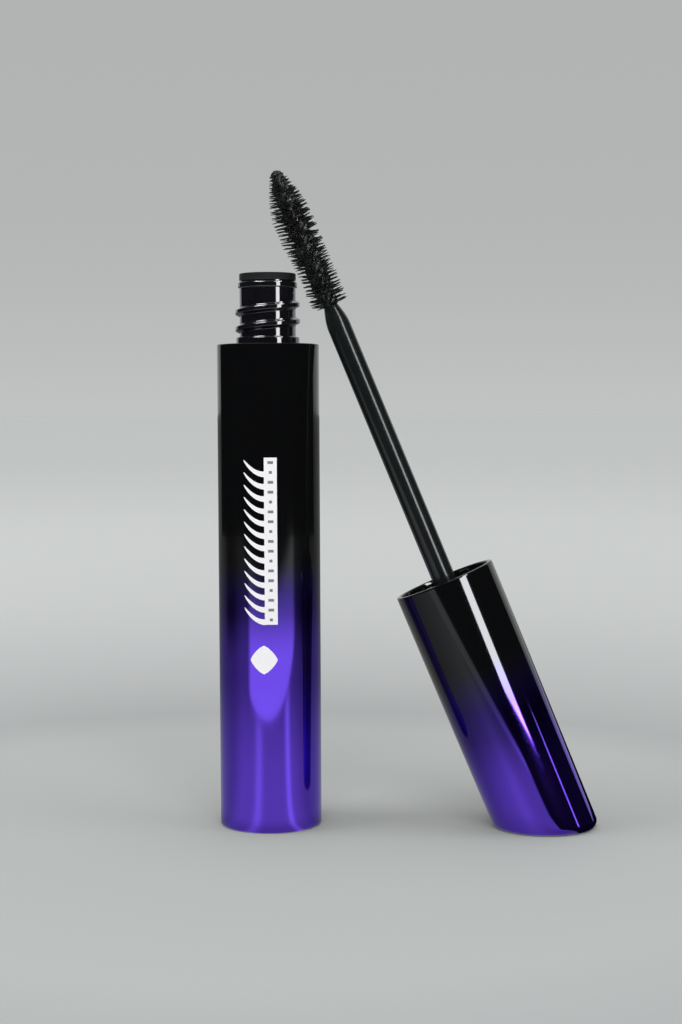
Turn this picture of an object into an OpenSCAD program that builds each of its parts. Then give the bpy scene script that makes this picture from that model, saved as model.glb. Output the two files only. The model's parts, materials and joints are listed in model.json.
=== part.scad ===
// A mascara tube standing open, with its applicator leaning over the neck.
// The origin is the centre of the tube's base, +Z is up and +X points to the applicator's foot.
// The applicator is drawn on its own axis, s, which runs from the foot (s = 0) to the brush tip.

/* [Tube] */
// Outside diameter of the tube and of the cap's mouth
tube_d = 17; // [16:0.1:22]
// Height of the tube from the table to its shoulder
tube_h = 80.5; // [66:0.5:110]
// Wall of the outer sleeve
sleeve_wall = 0.9; // [0.6:0.1:1.2]
// Thickness of the sleeve's shoulder
shoulder_t = 1.2; // [0.8:0.1:2]
// Rounding of the sleeve's foot
foot_round = 0.5; // [0.2:0.1:0.8]
// Thickness of the plug's floor
plug_t = 2.2; // [1.5:0.1:3]
// Height of the plug's skirt inside the sleeve
plug_skirt_h = 6; // [4:0.5:9]
// Wall of the plug's skirt
plug_skirt_wall = 0.8; // [0.6:0.1:1.2]

/* [Vial] */
// Wall of the vial below its shoulder
vial_wall = 1.1; // [0.8:0.1:1.4]
// Thickness of the vial's floor
vial_floor_t = 1.4; // [1:0.1:2.5]
// Height of the formula above the vial's floor
fill_h = 55; // [30:1:58]
// Diameter of the channel that the brush keeps open in the formula
channel_d = 7.4; // [7:0.1:8.6]

/* [Neck and thread] */
// Height of the closed neck above the sleeve's shoulder, wiper included
neck_h = 11.7; // [10.5:0.1:14]
// Diameter of the neck between the thread's ridges
neck_d = 9.4; // [9:0.1:11]
// Wall of the neck around its bore
neck_wall = 0.85; // [0.7:0.05:1]
// How far the bead under the wiper's flange stands out from the neck
bead_out = 0.25; // [0.15:0.05:0.4]
// Height of the bead
bead_h = 1; // [0.6:0.1:1.4]
// How far the collar at the neck's root stands out from it
collar_out = 0.6; // [0.4:0.1:0.8]
// Height of the collar above the sleeve's shoulder
collar_h = 1.2; // [0.8:0.1:1.5]
// How far the thread's ridges stand out from the neck
thread_out = 0.7; // [0.5:0.05:0.8]
// Rise of the thread in one turn
thread_pitch = 2.76; // [2.5:0.02:3.2]
// Number of turns of the thread
thread_turns = 1.6; // [1.4:0.1:1.8]

/* [Wiper] */
// Thickness of the wiper's flange on top of the neck
wiper_flange_t = 1.2; // [0.8:0.1:1.6]
// Wall of the wiper above its cone
wiper_wall = 0.57; // [0.4:0.01:0.7]
// Length of the wiper below its flange
wiper_len = 8.6; // [7:0.1:10]
// Length of the cone that ends in the wiping lip
wiper_cone_h = 3.6; // [2.5:0.1:4.5]

/* [Cap] */
// Length of the cap along its axis
cap_len = 44.8; // [38:0.1:60]
// Wall of the cap's shell
cap_wall = 0.8; // [0.6:0.1:1.1]
// How much narrower the cap is at its foot than at its mouth
cap_draft = 0.6; // [0:0.1:1]
// Angle between the cap's foot and a square cut, which is the applicator's lean
lean = 22.4; // [15:0.1:28]
// Thickness of the cap's closed foot
foot_t = 1.6; // [1:0.1:3]
// How far the inner cap is set back inside the mouth
inner_setback = 1.2; // [0.6:0.1:1.6]
// Wall of the inner cap around its thread
inner_wall = 0.9; // [0.7:0.1:1.2]
// Thickness of the inner cap's rim
inner_rim_t = 1; // [0.8:0.1:1.5]
// Number of ribs that centre the inner cap
inner_ribs = 8; // [6:1:12]
// Thickness of a rib
rib_t = 0.8; // [0.6:0.1:1.2]
// Thickness of the seal ring
seal_t = 1.2; // [0.8:0.1:1.6]

/* [Applicator] */
// Diameter of the stem
stem_d = 3.9; // [3.2:0.1:4.2]
// Diameter of the stem's root in the inner cap
root_d = 5.4; // [5.1:0.1:6]
// Length of the stem's root
root_len = 11.5; // [8:0.5:14]
// Length of the stem's tapered end
taper_len = 3.8; // [3:0.1:5]
// Length of the brush
brush_len = 24.2; // [20:0.1:28]
// Diameter of the brush over its bristles
brush_d = 6.4; // [6:0.1:6.8]
// Diameter of the brush's rounded tip
brush_tip_d = 1.8; // [1.4:0.1:2.4]
// Length over which the brush narrows to its tip
brush_point_len = 8.5; // [6:0.1:10]
// Diameter of the sleeve that the bristles stand on
hub_d = 2.8; // [2.4:0.1:3]
// Diameter of the brush's core
core_d = 1.5; // [1.2:0.1:1.8]
// Distance from one row of bristles to the next
row_pitch = 1.1; // [0.9:0.05:1.4]

/* [Fits] */
// Clearance around a piece that is pressed into another
press_gap = 0.03; // [0.01:0.01:0.06]
// Clearance between the vial and the sleeve
vial_gap = 0.15; // [0.1:0.05:0.3]
// Clearance all round between the neck and what goes over it
thread_gap = 0.15; // [0.1:0.05:0.3]
// Clearance around the stem in the wiper's lip and in the seal ring
stem_gap = 0.1; // [0.05:0.05:0.2]
// Gap between the cap's mouth and the tube's shoulder when closed
close_gap = 0.15; // [0.1:0.05:0.3]
// Gap between the brush's tip and the vial's floor when closed
tip_gap = 3.6; // [1:0.1:5]
// Gap between the leaning applicator and the rim of the neck
rim_gap = 0.1; // [0.1:0.05:0.5]

/* [Hidden] */
$fn = 96;
eps = 0.01;
black = "#17151c";
purple = "#3a1a94";

sleeve_bore = tube_d - 2 * sleeve_wall;
vial_d = sleeve_bore - 2 * vial_gap;
vial_bore = vial_d - 2 * vial_wall;
vial_foot_z = plug_t + 0.2;
vial_foot_top = plug_t + plug_skirt_h + 0.2;
vial_foot_d = sleeve_bore - 2 * (plug_skirt_wall + 2 * press_gap + 0.1);
vial_foot_bore = min(vial_foot_d - 1.2, vial_bore);
vial_floor_z = vial_foot_z + vial_floor_t;
vial_step = 1.2;
vial_shoulder_z = tube_h - shoulder_t - 0.1;
vial_shoulder_t = 1.5;
formula_film = 0.05;
neck_bore = neck_d - 2 * neck_wall;
bead_d = neck_d + 2 * bead_out;
collar_d = neck_d + 2 * collar_out;
thread_d = neck_d + 2 * thread_out;
neck_top_z = tube_h + neck_h;
neck_rim_z = neck_top_z - wiper_flange_t;
collar_top_z = tube_h + collar_h;
wiper_d = neck_bore - 2 * press_gap;
wiper_bore = wiper_d - 2 * wiper_wall;
lip_d = stem_d + 2 * stem_gap;
ridge_h = 1.3;
crest_h = 0.55;
bite = 0.2;
thread_foot_z = collar_top_z + ridge_h / 2 + 0.2;
thread_start = 180;

cap_slope = cap_draft / 2 / cap_len;
seal_s = cap_len - (neck_h - close_gap) - seal_t - 0.05;
inner_floor_s = seal_s - 0.05;
inner_rim_s = cap_len - inner_setback;
inner_bore = thread_d + 2 * thread_gap;
inner_minor_d = bead_d + 2 * thread_gap;
inner_d = inner_bore + 2 * inner_wall;
socket_wall = 1;
root_s = inner_floor_s - root_len;
barb_h = 0.8;
barb_out = 0.15;
reach = tube_h + close_gap - vial_floor_z - tip_gap;
tip_s = cap_len + reach;
brush_s = tip_s - brush_len;
plug_len = 5;
core_end = brush_len - 2;
stem_end_d = 2.5;
fin_root = 0.5;
fin_tip = 0.16;
rim_s = (neck_top_z + (brush_d / 2 + rim_gap) * sin(lean)) / cos(lean);
lean_r = rim_s > brush_s ? brush_r(tip_s - rim_s) : stem_d / 2;
stand_x = neck_d / 2 + neck_top_z * tan(lean) + (lean_r + rim_gap) / cos(lean);

// Radius of the cap's outside at s
function cap_r(s) = tube_d / 2 - (cap_len - s) * cap_slope;

// Radius of the brush over its bristles, at a distance from its tip
function brush_r(from_tip) = brush_tip_d / 2
    + (brush_d - brush_tip_d) / 2 * sin(90 * min(from_tip, brush_point_len) / brush_point_len);

// Radius of the sleeve between its bristles, at a distance from the brush's tip
function hub_r(from_tip) = min(hub_d / 2, 0.75 * brush_r(from_tip));

// Radius of the stem's tapered end, where t runs from 0 at its end to 1 at its full width
function taper_r(t) = stem_end_d / 2 + (stem_d - stem_end_d) / 2 * sin(90 * t);

// Share of the thread's full height at a turn, which fades in and out over an eighth of a turn
function fade(turn) = max(0.1, min(1, turn * 8, (thread_turns - turn) * 8));

// One ridge of a right-handed thread. The root is buried in the wall, on either side of it.
module thread_ridge(root_r, crest_r, foot_z) {
    steps = ceil(thread_turns * 28);
    side = crest_r > root_r ? 1 : -1;
    points = [for (i = [0 : steps])
        let (turn = thread_turns * i / steps, a = thread_start + 360 * turn,
            z = foot_z + thread_pitch * turn, crest = root_r + (crest_r - root_r) * fade(turn))
        for (p = [[root_r, -side * ridge_h / 2], [crest, -side * crest_h / 2],
                  [crest, side * crest_h / 2], [root_r, side * ridge_h / 2]])
            [p[0] * cos(a), p[0] * sin(a), z + p[1]]];
    walls = [for (i = [0 : steps - 1], j = [0 : 3])
        let (a = 4 * i + j, b = 4 * i + (j + 1) % 4)
        each [[a, b, b + 4], [a, b + 4, a + 4]]];
    ends = [[3, 2, 1], [3, 1, 0], [4 * steps, 4 * steps + 1, 4 * steps + 2],
        [4 * steps, 4 * steps + 2, 4 * steps + 3]];
    polyhedron(points, concat(walls, ends), convexity = 8);
}

// Stands a piece of the applicator on its foot, leaning over the neck
module lean_over() {
    translate([stand_x, 0, 0]) rotate([0, -lean, 0]) children();
}

// Everything above the plane of the foot, raised by lift, in the applicator's own axes
module above_foot(lift) {
    size = 4 * cap_len;
    rotate([0, lean, 0]) translate([-size / 2, -size / 2, lift]) cube(size);
}

// A disc or tube on the axis between two heights
module ring(outer_r, inner_r, low, high) {
    translate([0, 0, low]) difference() {
        cylinder(h = high - low, r = outer_r);
        translate([0, 0, -1]) cylinder(h = high - low + 2, r = inner_r);
    }
}

// Lacquered casing of the tube, open at the foot and turned in at the shoulder
module outer_sleeve() {
    color(purple) difference() {
        rotate_extrude() {
            translate([0, foot_round]) square([tube_d / 2, tube_h - foot_round]);
            square([tube_d / 2 - foot_round, tube_h / 2]);
            translate([tube_d / 2 - foot_round, foot_round]) circle(foot_round);
        }
        translate([0, 0, -1]) cylinder(h = tube_h - shoulder_t + 1, d = sleeve_bore);
        cylinder(h = tube_h + 1, d = collar_d + 2 * thread_gap);
    }
}

// Flat disc with a skirt that closes the sleeve's foot
module base_plug() {
    plug_r = sleeve_bore / 2 - press_gap;
    color(black) difference() {
        cylinder(h = plug_t + plug_skirt_h, r = plug_r);
        translate([0, 0, plug_t]) cylinder(h = plug_skirt_h + 1, r = plug_r - plug_skirt_wall);
    }
}

// Inner bottle with the threaded neck
module vial() {
    color(black) difference() {
        union() {
            translate([0, 0, vial_foot_z])
                cylinder(h = vial_foot_top - vial_foot_z + eps, d = vial_foot_d);
            translate([0, 0, vial_foot_top])
                cylinder(h = vial_shoulder_z - vial_foot_top, d = vial_d);
            translate([0, 0, vial_shoulder_z - eps])
                cylinder(h = collar_top_z - vial_shoulder_z + eps, d = collar_d);
            translate([0, 0, collar_top_z - eps]) cylinder(h = neck_rim_z - collar_top_z + eps, d = neck_d);
            translate([0, 0, neck_rim_z - bead_h - 0.2]) cylinder(h = bead_h, d = bead_d);
            thread_ridge(neck_d / 2 - bite, thread_d / 2, thread_foot_z);
        }
        translate([0, 0, vial_floor_z])
            cylinder(h = vial_foot_top + vial_step - vial_floor_z + eps, d = vial_foot_bore);
        translate([0, 0, vial_foot_top + vial_step])
            cylinder(h = vial_shoulder_z - vial_shoulder_t - vial_foot_top - vial_step, d = vial_bore);
        translate([0, 0, vial_floor_z]) cylinder(h = neck_top_z, d = neck_bore);
    }
}

// Soft wiper: a flange on the neck's rim, a sleeve in its bore and a cone that ends in the lip
module wiper() {
    foot_z = neck_rim_z - wiper_len;
    cone_z = foot_z + wiper_cone_h;
    lip_z = foot_z + 0.6;
    color(black) difference() {
        union() {
            translate([0, 0, neck_rim_z]) cylinder(h = wiper_flange_t, d = neck_d);
            translate([0, 0, cone_z]) cylinder(h = neck_rim_z - cone_z + eps, d = wiper_d);
            translate([0, 0, foot_z]) cylinder(h = wiper_cone_h, d1 = lip_d + 1, d2 = wiper_d);
        }
        translate([0, 0, cone_z]) cylinder(h = neck_top_z - cone_z + 1, d = wiper_bore);
        translate([0, 0, lip_z]) cylinder(h = cone_z - lip_z + eps, d1 = lip_d, d2 = wiper_bore);
        translate([0, 0, foot_z - 1]) cylinder(h = wiper_len, d = lip_d);
    }
}

// Paste in the vial, with the channel that the brush leaves
module mascara_formula() {
    step_z = vial_foot_top + vial_step + formula_film;
    color(black) difference() {
        union() {
            translate([0, 0, vial_floor_z + formula_film])
                cylinder(h = step_z - vial_floor_z, d = vial_foot_bore - 2 * formula_film);
            translate([0, 0, step_z])
                cylinder(h = vial_floor_z + fill_h - step_z, d = vial_bore - 2 * formula_film);
        }
        translate([0, 0, vial_floor_z + 1]) cylinder(h = fill_h + 1, d = channel_d);
    }
}

// Lacquered shell of the cap, which stands on its slanted foot
module cap_shell() {
    low = -cap_r(0) * tan(lean) - 1;
    color(purple) lean_over() difference() {
        intersection() {
            translate([0, 0, low]) cylinder(h = cap_len - low, r1 = cap_r(low), r2 = cap_r(cap_len));
            above_foot(0);
        }
        intersection() {
            translate([0, 0, low])
                cylinder(h = cap_len + 1 - low, r1 = cap_r(low) - cap_wall, r2 = cap_r(cap_len + 1) - cap_wall);
            above_foot(foot_t);
        }
    }
}

// Liner of the cap, with the thread, a rim, centring ribs and the socket for the stem
module inner_cap() {
    low = root_s - 1;
    hold_r = cap_r(low) - cap_wall - press_gap;
    color(black) lean_over() difference() {
        union() {
            ring(inner_d / 2, inner_bore / 2, inner_floor_s - 0.9, inner_rim_s);
            translate([0, 0, inner_rim_s - inner_rim_t]) cylinder(h = inner_rim_t, r = hold_r);
            translate([0, 0, low]) cylinder(h = inner_floor_s - low, d = root_d + 2 * socket_wall);
            translate([0, 0, inner_floor_s - 1.2]) cylinder(h = 1.2, d = inner_d);
            intersection() {
                translate([0, 0, low]) cylinder(h = inner_rim_s - low, r = hold_r);
                for (i = [0 : inner_ribs - 1]) rotate([0, 0, 360 * i / inner_ribs])
                    translate([root_d / 2 + socket_wall / 2, -rib_t / 2, low])
                        cube([tube_d / 2, rib_t, inner_rim_s - low - inner_rim_t / 2]);
            }
        }
        translate([0, 0, inner_floor_s]) cylinder(h = cap_len, d = inner_bore);
        translate([0, 0, root_s]) cylinder(h = root_len + 1, d = root_d + 2 * press_gap);
        translate([0, 0, root_s + root_len / 2 - barb_h / 2 - press_gap])
            cylinder(h = barb_h + 2 * press_gap, d = root_d + 2 * (barb_out + press_gap));
    }
    color(black) lean_over() translate([0, 0, cap_len + close_gap + tube_h]) rotate([180, 0, 0])
        thread_ridge(inner_bore / 2 + bite, inner_minor_d / 2, thread_foot_z + thread_pitch / 2);
}

// Loose elastic ring that closes on top of the wiper
module seal_ring() {
    color("dimgray") lean_over()
        ring(inner_minor_d / 2 - thread_gap, stem_d / 2 + stem_gap, seal_s, seal_s + seal_t);
}

// Stem with a barbed root and a tapered end, bored for the brush
module stem() {
    steps = 8;
    full_s = brush_s - taper_len;
    mid_s = root_s + root_len / 2;
    color(black) lean_over() difference() {
        union() {
            translate([0, 0, root_s]) cylinder(h = root_len - press_gap, d = root_d);
            translate([0, 0, mid_s - barb_h / 2])
                cylinder(h = barb_h, d1 = root_d, d2 = root_d + 2 * barb_out);
            rotate_extrude() polygon(concat(
                [[0, root_s + 1], [stem_d / 2, root_s + 1]],
                [for (i = [0 : steps]) [taper_r(1 - i / steps), full_s + taper_len * i / steps]],
                [[0, brush_s]]));
        }
        translate([0, 0, brush_s - plug_len]) cylinder(h = plug_len + 1, d = core_d + 2 * press_gap);
    }
}

// Hard core of the brush, with the plug that is pressed into the stem
module brush_core() {
    color(black) lean_over() translate([0, 0, brush_s - plug_len + press_gap])
        cylinder(h = plug_len + core_end - press_gap, d = core_d);
}

// Bristles of the brush, row by row, on the sleeve that carries them
module bristle_sleeve() {
    first = press_gap + fin_root;
    rows = floor((brush_len - first - fin_root) / row_pitch);
    fins = [for (i = [0 : rows - 1])
        let (at = first + i * row_pitch, root = hub_r(brush_len - at), out = brush_r(brush_len - at))
        each [[root, at - fin_root / 2], [out, at - fin_tip / 2],
              [out, at + fin_tip / 2], [root, at + fin_root / 2]]];
    tip = [[brush_tip_d / 2, brush_len - fin_root / 2], [brush_tip_d / 4, brush_len], [0, brush_len]];
    color(black) lean_over() translate([0, 0, brush_s]) difference() {
        rotate_extrude()
            polygon(concat([[0, press_gap], [stem_end_d / 2, press_gap]], fins, tip));
        translate([0, 0, -1]) cylinder(h = core_end + press_gap + 1, d = core_d + 2 * press_gap);
    }
}

outer_sleeve();
base_plug();
vial();
wiper();
mascara_formula();
cap_shell();
inner_cap();
seal_ring();
stem();
brush_core();
bristle_sleeve();
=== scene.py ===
"""Looks of an open mascara tube whose applicator leans over the neck.

Lengths are in millimetres in the part's frame: the origin is the centre of the tube's base, +Z is up
and +X points to the foot of the cap. Applicator pieces are worked out on their own axis, whose height
runs from the cap's foot to the brush tip, and are leant over the neck last.
"""

import json
import logging
import math
from dataclasses import dataclass, field
from enum import Enum
from typing import Any, Callable, Optional

import bpy
import numpy as np
from mathutils import Matrix, Vector


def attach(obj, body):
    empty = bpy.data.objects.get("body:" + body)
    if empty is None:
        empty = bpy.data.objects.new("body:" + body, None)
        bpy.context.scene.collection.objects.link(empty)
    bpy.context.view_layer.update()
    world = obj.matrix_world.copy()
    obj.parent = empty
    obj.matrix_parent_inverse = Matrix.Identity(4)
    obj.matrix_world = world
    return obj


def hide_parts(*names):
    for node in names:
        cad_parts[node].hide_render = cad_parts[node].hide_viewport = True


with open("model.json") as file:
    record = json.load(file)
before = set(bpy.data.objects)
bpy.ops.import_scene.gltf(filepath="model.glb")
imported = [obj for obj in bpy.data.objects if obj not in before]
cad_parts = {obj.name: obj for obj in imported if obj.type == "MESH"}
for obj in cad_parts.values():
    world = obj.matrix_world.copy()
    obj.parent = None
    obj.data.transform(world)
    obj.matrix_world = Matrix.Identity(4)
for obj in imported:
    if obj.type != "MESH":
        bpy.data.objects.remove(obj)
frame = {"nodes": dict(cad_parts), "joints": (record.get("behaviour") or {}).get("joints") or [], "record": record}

METRES_PER_MM = 0.001
SEGMENTS = 160
SEED = 41
TUBE_PIECES = ("lacquered_casing", "foot_plug", "threaded_vial", "wiper_insert", "front_print",
               "print_dashes")
CAP_PIECES = ("lacquered_cap", "cap_liner", "closing_ring", "wand_stem", "moulded_brush")
LOG = logging.getLogger("mascara")

Array = np.ndarray


# ---------------------------------------------------------------- shapes


def smooth_step(low: float, high: float, values: Array) -> Array:
    """Returns 0 below low, 1 above high and 3t^2 - 2t^3 between them."""
    t = np.clip((values - low) / (high - low), 0.0, 1.0)
    return t * t * (3.0 - 2.0 * t)


def arc(centre: tuple[float, float], radius: float, start: float, end: float, steps: int = 6) -> Array:
    """Points of a circular arc in an outline.

    Args:
        centre: radius and height of the arc's centre.
        radius: radius of the arc.
        start: angle of the first point in degrees.
        end: angle of the last point in degrees.
        steps: number of spans.

    Returns:
        An array of (radius, height) rows, centre + radius * (cos a, sin a).
    """
    angles = np.radians(np.linspace(start, end, steps + 1))
    return np.column_stack([centre[0] + radius * np.cos(angles), centre[1] + radius * np.sin(angles)])


def span(start: tuple[float, float], end: tuple[float, float], steps: int) -> Array:
    """Returns evenly spaced (radius, height) rows from start to end."""
    return np.linspace(start, end, steps + 1)


def outline(*runs: Any) -> Array:
    """Joins points and arrays of points into one outline of (radius, height) rows."""
    return np.vstack([np.atleast_2d(np.asarray(run, float)) for run in runs])


class Mesh:
    """Vertices and faces that gather until they become one object."""

    def __init__(self) -> None:
        """Starts with nothing."""
        self.points: list[Array] = []
        self.quads: list[Array] = []
        self.fans: list[Array] = []
        self.count = 0

    def add(self, points: Array, quads: Array, fans: Optional[Array] = None) -> None:
        """Adds a closed surface.

        Args:
            points: one (x, y, z) row for each vertex.
            quads: four vertex numbers for each face.
            fans: three vertex numbers for each triangle, if there are any.
        """
        self.points.append(points)
        self.quads.append(quads + self.count)
        if fans is not None:
            self.fans.append(fans + self.count)
        self.count += len(points)

    def add_grid(self, grid: Array, wrap_rows: bool, wrap_columns: bool) -> None:
        """Adds the quads of a grid of points, whose outside has its columns to the left of its rows.

        Args:
            grid: points as an array of rows by columns by 3.
            wrap_rows: whether the last row joins the first.
            wrap_columns: whether the last column joins the first.
        """
        rows, columns = grid.shape[:2]
        self.add(grid.reshape(-1, 3), grid_quads(rows, columns, wrap_rows, wrap_columns))

    def make(self, name: str, place: Callable[[Array], Array], sharp: float = 38.0) -> bpy.types.Object:
        """Makes the object.

        Args:
            name: name of the piece.
            place: moves the points to where the piece belongs.
            sharp: angle in degrees above which an edge is drawn crisp.

        Returns:
            The new object, at the origin, with its place in its mesh.
        """
        points = place(np.vstack(self.points)) * METRES_PER_MM
        faces = np.vstack(self.quads).tolist()
        if self.fans:
            faces += np.vstack(self.fans).tolist()
        mesh = bpy.data.meshes.new(name)
        mesh.from_pydata(points, [], faces)
        mesh.update()
        mesh.shade_smooth()
        mesh.set_sharp_from_angle(angle=math.radians(sharp))
        piece = bpy.data.objects.new(name, mesh)
        bpy.context.scene.collection.objects.link(piece)
        return piece


def grid_quads(rows: int, columns: int, wrap_rows: bool, wrap_columns: bool) -> Array:
    """Returns the four vertex numbers of each face of a grid, the next row first and then the next column."""
    row, column = np.meshgrid(
        np.arange(rows if wrap_rows else rows - 1),
        np.arange(columns if wrap_columns else columns - 1),
        indexing="ij",
    )
    next_row, next_column = (row + 1) % rows, (column + 1) % columns
    corners = [row * columns + column, next_row * columns + column,
               next_row * columns + next_column, row * columns + next_column]
    return np.stack(corners, -1).reshape(-1, 4)


Swell = Callable[[Array, Array, Array], Array]


def lathe(mesh: Mesh, profile: Array, swell: Optional[Swell] = None, segments: int = SEGMENTS) -> None:
    """Adds the surface (r cos a, r sin a, z), the outline (r, z) carried round the axis.

    An outline that starts and ends on the axis is closed by a pole at each end. Any other outline is
    a ring, whose last point joins its first. It runs with the solid on its left.

    Args:
        mesh: where the surface goes.
        profile: (radius, height) rows, or one such outline for each angle.
        swell: changes the radii, from arrays of angle, radius and height.
        segments: number of steps round the axis.
    """
    angles = np.linspace(0.0, 2.0 * np.pi, segments, endpoint=False)[:, None]
    profile = np.broadcast_to(profile, (segments, *profile.shape[-2:]))
    radii, heights = profile[..., 0], profile[..., 1]
    if swell is not None:
        radii = swell(np.broadcast_to(angles, radii.shape), radii, heights)
    poles = bool(profile[0, 0, 0] == 0.0 and profile[0, -1, 0] == 0.0)
    grid = np.stack([radii * np.cos(angles), radii * np.sin(angles), heights], -1)
    if not poles:
        mesh.add_grid(grid, True, True)
        return
    inner = grid[:, 1:-1]
    rows, columns = inner.shape[:2]
    points = np.vstack([inner.reshape(-1, 3), grid[0, 0], grid[0, -1]])
    ring = np.arange(rows)
    following = (ring + 1) % rows
    first, last = np.full(rows, rows * columns), np.full(rows, rows * columns + 1)
    fans = np.vstack([
        np.column_stack([first, following * columns, ring * columns]),
        np.column_stack([last, ring * columns + columns - 1, following * columns + columns - 1]),
    ])
    mesh.add(points, grid_quads(rows, columns, True, False), fans)


def slab(mesh: Mesh, outer: Array, inner: Array) -> None:
    """Adds the closed solid between two matching grids of points, the outer one facing outwards."""
    rows, columns = outer.shape[:2]
    size = rows * columns
    top = grid_quads(rows, columns, False, False)
    under = top[:, ::-1] + size
    edge = np.concatenate([
        np.arange(rows) * columns,
        (rows - 1) * columns + np.arange(1, columns),
        np.arange(rows - 2, -1, -1) * columns + columns - 1,
        np.arange(columns - 2, 0, -1),
    ])
    after = np.roll(edge, -1)
    sides = np.column_stack([after, edge, edge + size, after + size])
    mesh.add(np.vstack([outer.reshape(-1, 3), inner.reshape(-1, 3)]), np.vstack([top, under, sides]))


def stay(points: Array) -> Array:
    """Leaves points where they are."""
    return points


def lumps(seed: int, waves: int, coarse: float, fine: float) -> Callable[[Array], Array]:
    """Makes an uneven field, the mean of sines with drawn directions, lengths and phases.

    Args:
        seed: seed of the draws.
        waves: number of sines.
        coarse: longest wave in millimetres.
        fine: shortest wave in millimetres.

    Returns:
        A function from an array of (x, y, z) to values that are mostly within -1 and 1.
    """
    draw = np.random.default_rng(seed)
    directions = draw.normal(size=(waves, 3))
    directions /= np.linalg.norm(directions, axis=1, keepdims=True)
    vectors = directions * (2.0 * np.pi / draw.uniform(fine, coarse, (waves, 1)))
    phases = draw.uniform(0.0, 2.0 * np.pi, waves)
    return lambda points: np.sin(points @ vectors.T + phases).sum(-1) * (2.0 / waves) ** 0.5


# ---------------------------------------------------------------- shader maths


class Value:
    """A socket that carries a number, with the arithmetic that adds Math nodes."""

    def __init__(self, shader: "Shader", socket: Any) -> None:
        """Keeps the socket and the shader that it belongs to."""
        self.shader = shader
        self.socket = socket

    def _math(self, operation: str, first: Any, second: Any = 0.0) -> "Value":
        """Adds one Math node with one or two inputs."""
        node = self.shader.node("ShaderNodeMath", {"operation": operation}, {0: first, 1: second})
        return Value(self.shader, node.outputs[0])

    def __add__(self, other: Any) -> "Value":
        """Returns self + other."""
        return self._math("ADD", self, other)

    def __mul__(self, other: Any) -> "Value":
        """Returns self * other."""
        return self._math("MULTIPLY", self, other)

    def __sub__(self, other: Any) -> "Value":
        """Returns self - other."""
        return self._math("SUBTRACT", self, other)

    def __rsub__(self, other: Any) -> "Value":
        """Returns other - self."""
        return self._math("SUBTRACT", other, self)

    def __truediv__(self, other: Any) -> "Value":
        """Returns self / other."""
        return self._math("DIVIDE", self, other)

    def root(self) -> "Value":
        """Returns the square root of self."""
        return self._math("SQRT", self)

    def absolute(self) -> "Value":
        """Returns self without its sign."""
        return self._math("ABSOLUTE", self)

    def power_of_e(self) -> "Value":
        """Returns e to the power of self."""
        return self._math("EXPONENT", self)

    def turn(self, across: "Value") -> "Value":
        """Returns the angle in radians whose tangent is self / across."""
        return self._math("ARCTAN2", self, across)

    def step(self, low: float, high: float) -> "Value":
        """Returns 0 at low, 1 at high and a smooth change between them."""
        node = self.shader.node("ShaderNodeMapRange", {"interpolation_type": "SMOOTHSTEP"},
                                {"Value": self, "From Min": low, "From Max": high})
        return Value(self.shader, node.outputs[0])


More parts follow.
